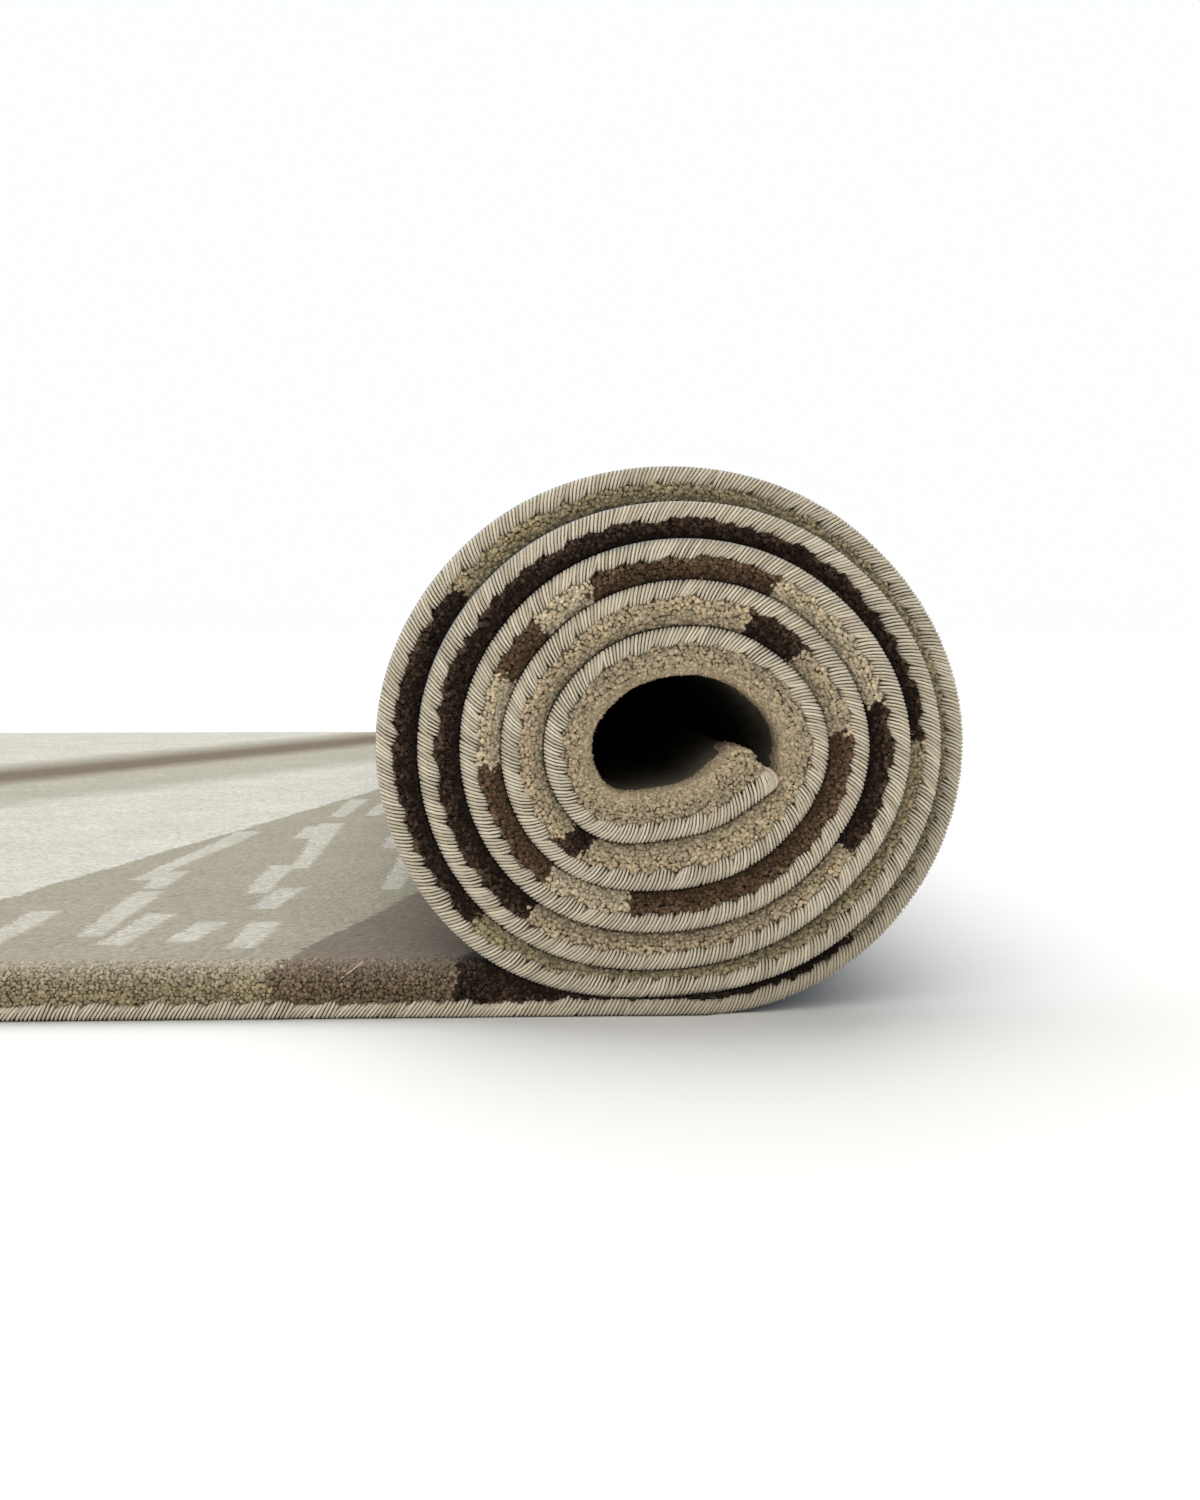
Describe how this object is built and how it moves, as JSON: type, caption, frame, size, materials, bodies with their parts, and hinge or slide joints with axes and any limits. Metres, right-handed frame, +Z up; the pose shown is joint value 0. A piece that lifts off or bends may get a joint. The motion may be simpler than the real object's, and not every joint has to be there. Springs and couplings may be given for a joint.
{
  "type": "rolled up carpet",
  "caption": "Tufted wool rug rolled up pile inwards, its last stretch lying flat on the floor, with overcast edges and a cotton back.",
  "frame": {"origin": "on the floor, under the middle of the whole rug's footprint", "axes": "+Y along the roll, away from the end that shows; +X from the flat stretch towards the roll; +Z up"},
  "size_m": [0.6176, 1.5466, 0.1548],
  "materials": {
    "wool_pile": "matt cut wool pile, sage, beige, cream and two browns",
    "backing_cotton": "plain woven cotton, pale blue-grey",
    "binding_yarn": "overcast wool yarn, slanting strands, soft sheen"
  },
  "bodies": {
    "root": {"carpet": "wool_pile", "backing_cloth": "backing_cotton", "binding_near": "binding_yarn", "binding_far": "binding_yarn", "binding_inner_end": "binding_yarn", "binding_outer_end": "binding_yarn"}
  },
  "joints": []
}
